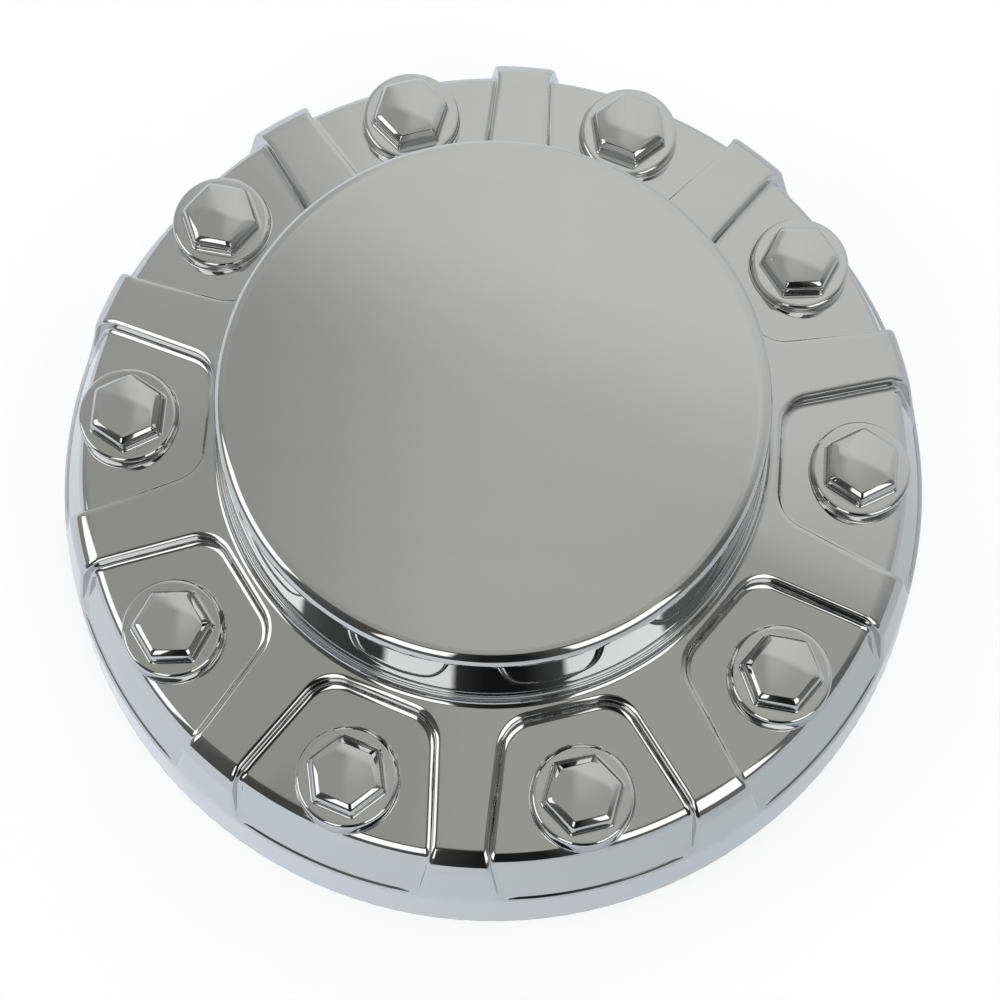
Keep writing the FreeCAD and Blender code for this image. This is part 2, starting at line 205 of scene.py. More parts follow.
mirror = half_outline[1:-1][::-1] * np.array([1, -1])
outline = np.vstack([half_outline, mirror])
loop_count = len(outline)

tangent = np.roll(outline, -1, axis=0) - np.roll(outline, 1, axis=0)
tangent /= np.linalg.norm(tangent, axis=1)[:, None]
outward = np.stack([-tangent[:, 1], tangent[:, 0]], axis=1)
outward[0] = (-1, 0)

# The step from panel to rib round that outline: a hollow rounding, a steep wall and a convex rounding.
# Along the ledge the hollow is tight and the edge even.
low_from = top_half_count + side_count - ARC_STEPS
at_ledge = np.clip((np.arange(len(half_outline)) - low_from) / (2 * ARC_STEPS), 0, 1)
at_ledge = at_ledge * at_ledge * (3 - 2 * at_ledge)
at_ledge = np.concatenate([at_ledge, at_ledge[1:-1][::-1]])
SOFT_END = math.radians(32)
STEEP = math.radians(84)
STEP_SOFT = 2.6
STEP_TIGHT = 0.7
LEDGE_HOLLOW = 0.4
LEDGE_EDGE = 2.4
ROUND_STEPS = 10
BEND_TRIES = 200


def rounding(bend, soft, tight):
    """How far across and down a rounding has come at a bend; it starts soft and ends tight."""
    first = np.minimum(bend, SOFT_END)
    across = soft * np.sin(first) + tight * (np.sin(bend) - np.sin(first))
    down = soft * (1 - np.cos(first)) + tight * (np.cos(first) - np.cos(bend))
    return across, down


hollow_soft = STEP_SOFT * (1 - at_ledge) + LEDGE_HOLLOW * at_ledge
hollow_tight = STEP_TIGHT * (1 - at_ledge) + LEDGE_HOLLOW * at_ledge
edge_soft = STEP_SOFT * (1 - at_ledge) + LEDGE_EDGE * at_ledge
edge_tight = STEP_TIGHT * (1 - at_ledge) + LEDGE_EDGE * at_ledge
rib_side = skin_point(outline[:, 0], outline[:, 1], 0.0)
panel_side = skin_point(outline[:, 0], outline[:, 1], 1.0)
depth = np.linalg.norm(rib_side - panel_side, axis=1)
tries = np.linspace(0, STEEP, BEND_TRIES)[:, None]
reached = rounding(tries, hollow_soft, hollow_tight)[1] + rounding(tries, edge_soft, edge_tight)[1]
bend = np.array([np.interp(depth[k], reached[:, k], tries[:, 0]) for k in range(loop_count)])
hollow_across, hollow_down = rounding(bend, hollow_soft, hollow_tight)
edge_across, edge_down = rounding(bend, edge_soft, edge_tight)
wall = np.maximum(depth - hollow_down - edge_down, 0) / math.tan(STEEP)
step_half = (hollow_across + edge_across + wall) / 2
layers = []
for share in np.linspace(0, 1, ROUND_STEPS + 1):
    across, down = rounding(bend * share, hollow_soft, hollow_tight)
    layers.append((across - step_half, 1 - down / depth))
for share in np.linspace(1, 0, ROUND_STEPS + 1):
    across, down = rounding(bend * share, edge_soft, edge_tight)
    layers.append((step_half - across, down / depth))

loops = [outline + outward * offset[:, None] for offset, sunk in layers]
loop_points = [skin_point(loop[:, 0], loop[:, 1], sunk) for loop, (offset, sunk) in zip(loops, layers)]

# The deck, ribs and band between a panel and the middle lines of the ribs beside it
FAN_TOP = 12.0
FAN_LOW = 10.0
RIB_SHARES = (0.03, 0.07, 0.12, 0.18, 0.25, 0.33, 0.42, 0.52, 0.62, 0.72, 0.82, 0.91, 1.0)
corner_top = top_half_count
corner_low = top_half_count + side_count
first_run, last_run = outline[corner_top, 0], outline[corner_low, 0]
edge_run = np.interp(
    outline[corner_top:corner_low + 1, 0],
    [first_run, first_run + FAN_TOP, last_run - FAN_LOW, last_run],
    [0, first_run + FAN_TOP, last_run - FAN_LOW, along[-1]],
)


def at_angle(run, angle):
    """Place in the skin's own terms of a point at an angle from the panel's middle."""
    return np.stack([run, np.interp(run, along, rib_line[:, 0]) * np.sin(angle)], axis=1)


top_angles = np.linspace(0, HALF_SECTOR, top_half_count + 1)
low_angles = np.linspace(HALF_SECTOR, 0, low_half_count + 1)
half_border = np.vstack([
    at_angle(np.zeros(top_half_count), top_angles[:-1]),
    at_angle(edge_run[:-1], np.full(side_count, HALF_SECTOR)),
    at_angle(np.full(low_half_count + 1, along[-1]), low_angles),
])
border = np.vstack([half_border, half_border[1:-1][::-1] * np.array([1, -1])])
for share in RIB_SHARES:
    loop = loops[-1] * (1 - share) + border * share
    loop_points.append(skin_point(loop[:, 0], loop[:, 1], 0.0))

# The panel's own face, filled across between the four sides of the innermost loop
inner = loops[0]
across_count = 2 * top_half_count
top_side = np.vstack([inner[loop_count - top_half_count:], inner[:top_half_count + 1]])
right_side = inner[corner_top:corner_low + 1]
low_side = inner[corner_low:corner_low + 2 * low_half_count + 1][::-1]
left_side = inner[loop_count - top_half_count - side_count:loop_count - top_half_count + 1][::-1]
u = np.linspace(0, 1, across_count + 1)[None, :, None]
v = np.linspace(0, 1, side_count + 1)[:, None, None]
face_plan = (
    (1 - v) * top_side[None] + v * low_side[None]
    + (1 - u) * left_side[:, None] + u * right_side[:, None]
    - (1 - u) * (1 - v) * top_side[0] - u * (1 - v) * top_side[-1]
    - (1 - u) * v * low_side[0] - u * v * low_side[-1]
)
face_points = skin_point(face_plan[..., 0], face_plan[..., 1], 1.0)


# Points nearer than this, in metres, become one
WELD = 1e-6


class Mesh:
    """Gathers points and faces in millimetres for one piece."""

    def __init__(self):
        self.points = []
        self.faces = []
        self.count = 0

    def add(self, points):
        """Adds points and returns the number of the first."""
        first = self.count
        self.points.append(points)
        self.count += len(points)
        return first

    def grid(self, rows, closed, left_out=None):
        """Quads over rows of points, each row as long as the next, without those left out."""
        rows = np.asarray(rows)
        first = self.add(rows.reshape(-1, 3))
        width = rows.shape[1]
        number = first + np.arange(rows.shape[0] * width).reshape(rows.shape[:2])
        ahead = np.roll(number, -1, axis=1)
        last = width if closed else width - 1
        quads = np.stack([number[:-1], ahead[:-1], ahead[1:], number[1:]], axis=-1)[:, :last]
        self.faces.append(quads.reshape(-1, 4) if left_out is None else quads[~left_out])

    def finish(self, name):
        """The piece in the scene, welded, with its faces turned outwards."""
        points = np.vstack(self.points) * MM
        faces = np.vstack(self.faces)
        data = bpy.data.meshes.new(name)
        data.from_pydata(points.tolist(), [], faces.tolist())
        build = bmesh.new()
        build.from_mesh(data)
        bmesh.ops.remove_doubles(build, verts=build.verts, dist=WELD)
        unused = [vertex for vertex in build.verts if not vertex.link_faces]
        bmesh.ops.delete(build, geom=unused, context="VERTS")
        bmesh.ops.recalc_face_normals(build, faces=build.faces)
        build.to_mesh(data)
        build.free()
        data.polygons.foreach_set("use_smooth", np.ones(len(data.polygons), bool))
        piece = bpy.data.objects.new(name, data)
        scene.collection.objects.link(piece)
        return piece


def turned(points, angle):
    """Points turned about the cap's axis."""
    c, s = math.cos(angle), math.sin(angle)
    return points @ np.array([[c, s, 0], [-s, c, 0], [0, 0, 1]])


# Under each moulded nut the panel is open into the nut's hollow
NUT_CIRCLE = 112.5
UNDER_NUT = 14.6
under = np.hypot(face_points[..., 0] - NUT_CIRCLE, face_points[..., 1]) < UNDER_NUT
open_faces = under[:-1, :-1] & under[1:, :-1] & under[:-1, 1:] & under[1:, 1:]

skin_mesh = Mesh()
for number in range(SECTORS):
    angle = 2 * HALF_SECTOR * number
    skin_mesh.grid([turned(points, angle) for points in loop_points], True)
    panel_points = turned(face_points.reshape(-1, 3), angle).reshape(face_points.shape)
    skin_mesh.grid(panel_points, False, open_faces)

skin = skin_mesh.finish("cap_skin")


def plating_marks():
    """What plating shows close up: wiped smears, and the moulding's faint ripple under it."""
    group = bpy.data.node_groups.new("plating_marks", "ShaderNodeTree")
    for name, size in (("Smear Size", 14.0), ("Ripple Size", 420.0)):
        socket = group.interface.new_socket(name, in_out="INPUT", socket_type="NodeSocketFloat")
        socket.default_value = size
    for name in ("Smear", "Ripple"):
        group.interface.new_socket(name, in_out="OUTPUT", socket_type="NodeSocketFloat")
    entry = group.nodes.new("NodeGroupInput")
    leave = group.nodes.new("NodeGroupOutput")
    place = group.nodes.new("ShaderNodeTexCoord")
    wiped = group.nodes.new("ShaderNodeMapping")
    wiped.inputs["Rotation"].default_value = (0.2, 0.1, 0.6)
    wiped.inputs["Scale"].default_value = (1.0, 5.0, 2.0)
    smear = group.nodes.new("ShaderNodeTexNoise")
    smear.inputs["Detail"].default_value = 4.0
    smear.inputs["Distortion"].default_value = 0.6
    spread = group.nodes.new("ShaderNodeMapRange")
    spread.inputs["From Min"].default_value = 0.42
    spread.inputs["From Max"].default_value = 0.70
    ripple = group.nodes.new("ShaderNodeTexNoise")
    ripple.inputs["Detail"].default_value = 1.0
    join = group.links.new
    join(place.outputs["Object"], wiped.inputs["Vector"])
    join(wiped.outputs["Vector"], smear.inputs["Vector"])
    join(entry.outputs["Smear Size"], smear.inputs["Scale"])
    join(smear.outputs["Fac"], spread.inputs["Value"])
    join(spread.outputs["Result"], leave.inputs["Smear"])
    join(place.outputs["Object"], ripple.inputs["Vector"])
    join(entry.outputs["Ripple Size"], ripple.inputs["Scale"])
    join(ripple.outputs["Fac"], leave.inputs["Ripple"])
    return group


marks_group = plating_marks()


def plated(name, clean, wiped, smooth, dull, ripple_strength):
    """Chrome plating: colour and roughness where it is clean and where it is wiped."""
    material = bpy.data.materials.new(name)
    material.use_nodes = True
    nodes, join = material.node_tree.nodes, material.node_tree.links.new
    plate = nodes["Principled BSDF"]
    plate.inputs["Metallic"].default_value = 1.0
    plate.inputs["Specular Tint"].default_value = (0.94, 0.95, 0.96, 1.0)
    marks = nodes.new("ShaderNodeGroup")
    marks.node_tree = marks_group
    tone = nodes.new("ShaderNodeMix")
    tone.data_type = "RGBA"
    tone.inputs[6].default_value = clean
    tone.inputs[7].default_value = wiped
    gloss = nodes.new("ShaderNodeMapRange")
    gloss.inputs["To Min"].default_value = smooth
    gloss.inputs["To Max"].default_value = dull
    bump = nodes.new("ShaderNodeBump")
    bump.inputs["Strength"].default_value = ripple_strength
    bump.inputs["Distance"].default_value = 0.00002
    join(marks.outputs["Smear"], tone.inputs["Factor"])
    join(tone.outputs[2], plate.inputs["Base Color"])
    join(marks.outputs["Smear"], gloss.inputs["Value"])
    join(gloss.outputs["Result"], plate.inputs["Roughness"])
    join(marks.outputs["Ripple"], bump.inputs["Height"])
    join(bump.outputs["Normal"], plate.inputs["Normal"])
    return material


chrome = plated(
    "bright_chrome_plate",
    clean=(0.552, 0.558, 0.562, 1),
    wiped=(0.542, 0.548, 0.553, 1),
    smooth=0.012,
    dull=0.034,
    ripple_strength=0.08,
)
skin.data.materials.append(chrome)


def facing(line):
    """Outward directions along a turned profile that runs outwards and down."""
    way = np.gradient(line, axis=0)
    way /= np.linalg.norm(way, axis=1)[:, None]
    return np.stack([-way[:, 1], way[:, 0]], axis=1)


# Points nearer than this to a turned profile count as lying on it; each of its steps is split this fine
ON_PROFILE = 0.01
FINE = 32


def set_directions(piece, profiles):
    """Exact shading directions on turned profiles, for even reflections; the faces' own elsewhere."""
    count = len(piece.data.vertices)
    places = np.empty(3 * count, np.float32)
    piece.data.vertices.foreach_get("co", places)
    places = places.reshape(-1, 3) / MM
    directions = np.empty(3 * count, np.float32)
    piece.data.vertex_normals.foreach_get("vector", directions)
    directions = directions.reshape(-1, 3)
    off_axis = np.maximum(np.hypot(places[:, 0], places[:, 1]), 1e-9)
    for line, outward_ways in profiles:
        knots = np.arange(len(line))
        fine = np.arange(FINE * (len(line) - 1) + 1) / FINE
        spots = np.stack([np.interp(fine, knots, line[:, k]) for k in (0, 1)], axis=1)
        ways = np.stack([np.interp(fine, knots, outward_ways[:, k]) for k in (0, 1)], axis=1)
        ways /= np.linalg.norm(ways, axis=1)[:, None]
        tree = KDTree(len(spots))
        for number, (radius, height) in enumerate(spots):
            tree.insert((radius, height, 0), number)
        tree.balance()
        for number in range(count):
            spot, index, gap = tree.find((off_axis[number], places[number, 2], 0))
            if gap < ON_PROFILE:
                across_x, across_y = ways[index, 0] * places[number, :2] / off_axis[number]
                directions[number] = (across_x, across_y, ways[index, 1])
    piece.data.normals_split_custom_set_from_vertices(directions.tolist())


set_directions(skin, ((rib_line, facing(rib_line)), (panel_line, facing(panel_line))))
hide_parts("center_cap")
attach(skin, "root")

# The dome: the same moulding, a flat round top on an upright wall that covers the end of the hub.
# It stands on the deck with a low stepped ring round its foot, and its top edge is softly rounded.
BEAD_EDGE = (BEAD_FOOT[0], 67.9)
DOME_FOOT = (82.3, 68.1)
DOME_EDGE = (80.9, 102.7)
DOME_MIDDLE = (0.0, DOME_EDGE[1])
RING_EDGE_ROUND = 0.5
RING_EDGE_STEPS = 7
DOME_EDGE_ROUND = 4.2
DOME_EDGE_STEPS = 22
DOME_TOP_RADII = (75.8, 70.0, 40.0, 0.0)
dome_line = np.vstack([
    foot_arc[::-1],
    corner_points(BEAD_FOOT, BEAD_EDGE, DOME_FOOT, RING_EDGE_ROUND, RING_EDGE_STEPS),
    corner_points(BEAD_EDGE, DOME_FOOT, DOME_EDGE, RING_EDGE_ROUND, RING_EDGE_STEPS),
    straight(DOME_FOOT, DOME_EDGE, 13)[1:11:2],
    corner_points(DOME_FOOT, DOME_EDGE, DOME_MIDDLE, DOME_EDGE_ROUND, DOME_EDGE_STEPS),
    [(radius, DOME_EDGE[1]) for radius in DOME_TOP_RADII],
])
dome_angles = np.concatenate([-top_angles[:0:-1], top_angles[:-1]])
dome_angles = np.concatenate([dome_angles + 2 * HALF_SECTOR * number for number in range(SECTORS)])


def dome_ring(radius, height):
    """Points round the cap's axis, in step with the inner border of the skin."""
    level_ring = np.full(len(dome_angles), height)
    return np.stack([radius * np.cos(dome_angles), radius * np.sin(dome_angles), level_ring], axis=1)


dome_mesh = Mesh()
dome_mesh.grid([dome_ring(radius, height) for radius, height in dome_line], True)
dome = dome_mesh.finish("cap_dome")
dome.data.materials.append(chrome)
dome_ways = facing(dome_line[::-1])
dome_ways[-1] = facing(rib_line)[0]
set_directions(dome, ((dome_line[::-1], dome_ways),))
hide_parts("center_cap")
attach(dome, "root")

# The moulded nuts: part of the same moulding. Each has a crowned hex on a round flange, and the
# flange's barrel runs down over the panel's edge and melts into the outer wall.
FLANGE_TOP = 57.9
FLANGE_RADIUS = 15.35
FLANGE_ROUND_SHARE = 0.75
FLANGE_ROUND_LIMITS = (0.2, 1.4)
BARREL_FOOT_SHARE = 0.2
BARREL_FOOT_LIMITS = (0.1, 0.5)
BESIDE_FLANGE = 1.0
INTO_PANEL = 0.15
CROWN_RINGS = 9
HEX_EDGE_RINGS = 15
HEX_FOOT_RINGS = 8
FLANGE_TOP_SHARES = (0.08, 0.4, 0.75, 0.94)
FLANGE_EDGE_RINGS = 9
BARREL_SHARES = (0.33, 0.66)
BARREL_FOOT_RINGS = 9
HEX_FLATS = 21.0
HEX_CORNER_ROUND = 1.3
HEX_TOP = 64.5
CROWN_ROUND = 55.0
CROWN_BLEND = 0.35
HEX_EDGE_ACROSS = 3.0
HEX_EDGE_DOWN = 2.2
HEX_FOOT_ROUND = 1.0


def hex_outline(apothem, rounding, per_flat=9, per_corner=6):
    """Rounded hexagon with a flat at angle 0, and its outward directions."""
    points, ways = [], []
    core = apothem - rounding
    for k in range(6):
        middle = math.radians(60 * k)
        flat_way = np.array([math.cos(middle), math.sin(middle)])
        flat_side = np.array([-flat_way[1], flat_way[0]])
        half = core * math.tan(math.radians(30))
        for s in np.linspace(-half, half, per_flat + 1):
            points.append(flat_way * apothem + flat_side * s)
            ways.append(flat_way)
        corner = flat_way * core + flat_side * half
        for a in np.linspace(0, math.radians(60), per_corner + 1)[1:-1]:
            way = np.array([math.cos(middle + a), math.sin(middle + a)])
            points.append(corner + way * rounding)
            ways.append(way)
    return np.array(points), np.array(ways)


hex_edge, hex_way = hex_outline(HEX_FLATS / 2, HEX_CORNER_ROUND)
nut_angle = np.arctan2(hex_edge[:, 1], hex_edge[:, 0])
nut_way = np.stack([np.cos(nut_angle), np.sin(nut_angle)], axis=1)


def crown(plan):
    """Height of the hex's top, rounded off towards its six sides."""
    level_top = HEX_TOP - (plan ** 2).sum(axis=1) / (2 * CROWN_ROUND)
    sides = np.radians(60 * np.arange(6))
    to_sides = HEX_FLATS / 2 - plan @ np.stack([np.cos(sides), np.sin(sides)])
    nearest = -CROWN_BLEND * np.log(np.exp(-to_sides / CROWN_BLEND).sum(axis=1))
    share = 1 - np.clip(nearest / HEX_EDGE_ACROSS, 0, 1)
    return level_top - HEX_EDGE_DOWN * (1 - np.sqrt(1 - share ** 2))


def ring(plan, height):
    """Points of one ring of a nut, from its plan about the nut's own axis."""
    return np.column_stack([plan[:, 0] + NUT_CIRCLE, plan[:, 1], np.broadcast_to(height, len(plan))])


# Rings from the middle of the crown over the hex's edge and down its sides to the flange
nut_rings = []
edge_share = 2 * HEX_EDGE_ACROSS / HEX_FLATS
for share in np.linspace(0, 1 - edge_share, CROWN_RINGS)[:-1]:
    nut_rings.append(ring(hex_edge * share, crown(hex_edge * share)))
for a in np.linspace(0, math.pi / 2, HEX_EDGE_RINGS):
    plan = hex_edge * (1 - edge_share * (1 - math.sin(a)))
    nut_rings.append(ring(plan, crown(plan)))
for share in np.linspace(0, 1, HEX_FOOT_RINGS):
    a = math.pi / 2 * share
    plan = hex_edge + hex_way * HEX_FOOT_ROUND * (1 - math.cos(a))
    nut_rings.append(ring(plan, FLANGE_TOP + HEX_FOOT_ROUND * (1 - math.sin(a))))


def floor_height(radius):
    """Height of the panel's surface at a radius, down its outer face."""
    return np.interp(radius, panel_line[:, 0], panel_line[:, 1])


def from_axis(plan):
    """Distance of a nut's points from the cap's axis."""
    return np.hypot(plan[:, 0] + NUT_CIRCLE, plan[:, 1])


# How far the flange stands over the panel, and the roundings that fit into that
stand = FLANGE_TOP - floor_height(from_axis(nut_way * (FLANGE_RADIUS + BESIDE_FLANGE)))
flange_round = np.clip(FLANGE_ROUND_SHARE * stand, *FLANGE_ROUND_LIMITS)
foot_round = np.clip(BARREL_FOOT_SHARE * stand, *BARREL_FOOT_LIMITS)
hex_foot = hex_edge + hex_way * HEX_FOOT_ROUND
flange_edge = nut_way * (FLANGE_RADIUS - flange_round)[:, None]
for share in FLANGE_TOP_SHARES:
    nut_rings.append(ring(hex_foot * (1 - share) + flange_edge * share, FLANGE_TOP))
for share in np.linspace(0, 1, FLANGE_EDGE_RINGS):
    a = math.pi / 2 * share
    plan = nut_way * (FLANGE_RADIUS - flange_round * (1 - math.sin(a)))[:, None]
    nut_rings.append(ring(plan, FLANGE_TOP - flange_round * (1 - math.cos(a))))

# A ball of the foot's rounding rolls between barrel and panel: find its height at each angle
ball_plan = nut_way * (FLANGE_RADIUS + foot_round)[:, None]
ball_radius = from_axis(ball_plan)
panel_out = facing(panel_line)
over = panel_line[None] + panel_out[None] * foot_round[:, None, None]
ball_height = np.array([
    np.interp(ball_radius[k], over[k, :, 0], over[k, :, 1]) for k in range(len(ball_radius))
])
touch = np.array([
    np.argmin(np.hypot(panel_line[:, 0] - ball_radius[k], panel_line[:, 1] - ball_height[k]))
    for k in range(len(ball_radius))
])
outer_way = np.column_stack([ball_plan[:, 0] + NUT_CIRCLE, ball_plan[:, 1]]) / ball_radius[:, None]
to_floor = -np.column_stack([outer_way * panel_out[touch, :1], panel_out[touch, 1]])
to_barrel = -np.column_stack([nut_way, np.zeros(len(nut_way))])
ball = ring(ball_plan, ball_height)
top_of_barrel = nut_rings[-1]
foot_start = ball + to_barrel * foot_round[:, None]
for share in BARREL_SHARES:
    nut_rings.append(top_of_barrel * (1 - share) + foot_start * share)
spread = np.arccos(np.clip((to_barrel * to_floor).sum(axis=1), -1, 1))[:, None]
for share in np.linspace(0, 1, BARREL_FOOT_RINGS):
    way = np.sin((1 - share) * spread) * to_barrel + np.sin(share * spread) * to_floor
    way /= np.sin(spread)
    nut_rings.append(ball + way * foot_round[:, None])
nut_rings.append(ball + to_floor * (foot_round + INTO_PANEL)[:, None])

nut_mesh = Mesh()
for number in range(SECTORS):
    angle = 2 * HALF_SECTOR * number
    nut_mesh.grid([turned(points, angle) for points in nut_rings], True)
nuts = nut_mesh.finish("moulded_nuts")
nuts.data.materials.append(chrome)
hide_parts("center_cap")
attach(nuts, "root")

# The inside of the cap: the same moulding seen from the hub's side, with hollows behind the ribs and
# nuts. The plating is thin and dull there. Its shape is taken from the moulding's own inner faces.
RIM_LEVEL = 0.01
INSIDE_WELD = 2e-6
ROOF_FACING = -0.99
CREASE = math.radians(30)
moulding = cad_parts["center_cap"]
inner_faces = bmesh.new()
inner_faces.from_mesh(moulding.data)
inner_faces.transform(moulding.matrix_world)
bmesh.ops.remove_doubles(inner_faces, verts=inner_faces.verts, dist=INSIDE_WELD)
inner_faces.normal_update()


def is_rim(face):
    """The flat ring that the cap stands on, where its outside and inside meet."""
    return all(vertex.co.z < RIM_LEVEL * MM for vertex in face.verts)


# Start at the roof of the dome's hollow and go from face to face as far as the rim
rim_faces = {face for face in inner_faces.faces if is_rim(face)}
roof_faces = [face for face in inner_faces.faces if face.normal.z < ROOF_FACING]
to_visit = [max(roof_faces, key=lambda face: face.calc_center_median().z)]
kept_faces = set(to_visit)
while to_visit:
    for edge in to_visit.pop().edges:
        for face in edge.link_faces:
            if face not in kept_faces and face not in rim_faces:
                kept_faces.add(face)
                to_visit.append(face)
kept_faces |= rim_faces
outer_faces = [face for face in inner_faces.faces if face not in kept_faces]
bmesh.ops.delete(inner_faces, geom=outer_faces, context="FACES")
for face in inner_faces.faces:
    face.smooth = True
for edge in inner_faces.edges:
    edge.smooth = edge.is_manifold and edge.calc_face_angle() < CREASE
inside_data = bpy.data.meshes.new("cap_inside")
inner_faces.to_mesh(inside_data)
inner_faces.free()
inside = bpy.data.objects.new("cap_inside", inside_data)
scene.collection.objects.link(inside)
dull_plate = plated(
    "dull_inner_plate",
    clean=(0.44, 0.445, 0.45, 1),
    wiped=(0.36, 0.365, 0.37, 1),
    smooth=0.26,
    dull=0.42,
    ripple_strength=0.5,
)
inside_data.materials.append(dull_plate)
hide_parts("center_cap")
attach(inside, "root")

# The floor: a sheet of white paper, large enough to fill the view. The cap stands loose on it.
# The chrome mirrors it a little bluish, with painted shade that makes it darker to the right.
FLOOR_RADIUS = 8.0
FLOOR_DROP = 0.0002
bpy.ops.mesh.primitive_circle_add(vertices=128, radius=FLOOR_RADIUS, fill_type="NGON")
floor = bpy.context.object
floor.name = "paper_floor"
floor.location.z = -FLOOR_DROP
paper = bpy.data.materials.new("white_paper")
paper.use_nodes = True
nodes = paper.node_tree.nodes
links = paper.node_tree.links
nodes.clear()
out = nodes.new("ShaderNodeOutputMaterial")
add = nodes.new("ShaderNodeAddShader")
diffuse = nodes.new("ShaderNodeBsdfDiffuse")
diffuse.inputs["Color"].default_value = (0.40, 0.40, 0.40, 1.0)
glow = nodes.new("ShaderNodeEmission")
glow.inputs["Color"].default_value = (0.74, 0.745, 0.75, 1.0)
# Painted reflection: the paper as the chrome mirrors it, dimmer and bluish, with painted shade darker
# towards the right
mirrored = nodes.new("ShaderNodeEmission")
on_paper = nodes.new("ShaderNodeTexCoord")
to_right = nodes.new("ShaderNodeSeparateXYZ")
# Painted shade: the mirrored paper's tone fades darker towards the right
painted_shade_to_right = nodes.new("ShaderNodeMapRange")
painted_shade_to_right.interpolation_type = "SMOOTHSTEP"
painted_shade_to_right.inputs["From Min"].default_value = -0.10
painted_shade_to_right.inputs["From Max"].default_value = 0.22
painted_mirror_shade = nodes.new("ShaderNodeMix")
painted_mirror_shade.data_type = "RGBA"
painted_mirror_shade.inputs[6].default_value = (0.655, 0.695, 0.738, 1.0)
painted_mirror_shade.inputs[7].default_value = (0.420, 0.450, 0.475, 1.0)
path = nodes.new("ShaderNodeLightPath")
seen = nodes.new("ShaderNodeMath")
seen.operation = "ADD"
seen.use_clamp = True
add_mirrored = nodes.new("ShaderNodeAddShader")
links.new(path.outputs["Is Camera Ray"], glow.inputs["Strength"])
links.new(path.outputs["Is Glossy Ray"], seen.inputs[0])
links.new(path.outputs["Is Transmission Ray"], seen.inputs[1])
links.new(seen.outputs[0], mirrored.inputs["Strength"])
links.new(on_paper.outputs["Object"], to_right.inputs[0])
links.new(to_right.outputs["X"], painted_shade_to_right.inputs["Value"])
links.new(painted_shade_to_right.outputs["Result"], painted_mirror_shade.inputs["Factor"])
links.new(painted_mirror_shade.outputs[2], mirrored.inputs["Color"])
links.new(diffuse.outputs[0], add.inputs[0])
links.new(glow.outputs[0], add.inputs[1])
links.new(add.outputs[0], add_mirrored.inputs[0])
links.new(mirrored.outputs[0], add_mirrored.inputs[1])

# From below the paper is left out, so that the inside of the cap can be seen
side_seen = nodes.new("ShaderNodeNewGeometry")
from_below = nodes.new("ShaderNodeMixShader")
left_out = nodes.new("ShaderNodeBsdfTransparent")
links.new(side_seen.outputs["Backfacing"], from_below.inputs[0])
links.new(add_mirrored.outputs[0], from_below.inputs[1])
links.new(left_out.outputs[0], from_below.inputs[2])
links.new(from_below.outputs[0], out.inputs["Surface"])
floor.data.materials.append(paper)

# The light tent: a round tent of grey cloth with a pale back wall, dark cloth in front and three
# soft light windows in it. It only lights the cap and shows in the chrome.
TENT = 7.5
bpy.ops.mesh.primitive_uv_sphere_add(segments=96, ring_count=48, radius=TENT)
tent = bpy.context.object
tent.name = "light_tent"
tent.visible_camera = False
tent.visible_shadow = False
cloth = bpy.data.materials.new("tent_cloth")
cloth.use_nodes = True
nodes = cloth.node_tree.nodes
links = cloth.node_tree.links
nodes.clear()


def math_node(operation, *terms):
    """One Math node; terms are numbers or sockets."""
    node = nodes.new("ShaderNodeMath")
    node.operation = operation
    for socket, term in zip(node.inputs, terms):
        if isinstance(term, (int, float)):
            socket.default_value = term
        else:
            links.new(term, socket)
    return node.outputs[0]


def fade(value, start, end):
    """0 before start, 1 after end, smooth between them."""
    node = nodes.new("ShaderNodeMapRange")
    node.interpolation_type = "SMOOTHSTEP"
    links.new(value, node.inputs["Value"])
    node.inputs["From Min"].default_value = start
    node.inputs["From Max"].default_value = end
    return node.outputs["Result"]


def mix_cloth(share, below, above):
    """Mix of two colours."""
    node = nodes.new("ShaderNodeMix")
    node.data_type = "RGBA"
    links.new(share, node.inputs["Factor"])
    for socket, colour in ((node.inputs[6], below), (node.inputs[7], above)):
        if isinstance(colour, tuple):
            socket.default_value = colour
        else:
            links.new(colour, socket)
    return node.outputs[2]


where = nodes.new("ShaderNodeTexCoord")
parts = nodes.new("ShaderNodeSeparateXYZ")
links.new(where.outputs["Object"], parts.inputs[0])
east, north, high = parts.outputs


def distance_node(first, second):
    """Length across two directions at right angles."""
    squares = [math_node("MULTIPLY", length, length) for length in (first, second)]
    return math_node("SQRT", math_node("ADD", *squares))


# Degrees up from the floor, and degrees round from the front with the right-hand side positive
flat = distance_node(east, north)
rise = math_node("DEGREES", math_node("ARCTAN2", high, flat))
turn = math_node("DEGREES", math_node("ARCTAN2", east, math_node("MULTIPLY", north, -1)))


CHROME_RETURNS = 0.556
WALL_WARMTH = 0.97
ROOF_WARMTH = 0.94


def cloth_colour(grey, warmth):
    """Cloth that the chrome returns as this 8-bit grey, with a slightly warm cast."""
    share = grey / 255
    linear = share / 12.92 if share <= 0.04045 else ((share + 0.055) / 1.055) ** 2.4
    light = linear / CHROME_RETURNS
    return (light, light, light * warmth, 1)


# Greys of the wall round the tent, by degrees
wall_cloth = nodes.new("ShaderNodeValToRGB")
wall_greys = [
    (-180, 187), (-162, 180), (-150, 155), (-130, 148), (-108, 140), (-95, 120), (-62, 95), (-50, 72),
    (-38, 62), (-15, 80), (-5, 48), (2, 26), (14, 26), (24, 70), (48, 95), (68, 95), (80, 86),
    (90, 132), (104, 162), (126, 180), (180, 187),
]
ramp = wall_cloth.color_ramp.elements
while len(ramp) < len(wall_greys):
    ramp.new(0.5)
for element, (angle, grey) in zip(ramp, wall_greys):
    element.position = (angle + 180) / 360
    element.color = cloth_colour(grey, WALL_WARMTH)
links.new(math_node("DIVIDE", math_node("ADD", turn, 180), 360), wall_cloth.inputs[0])

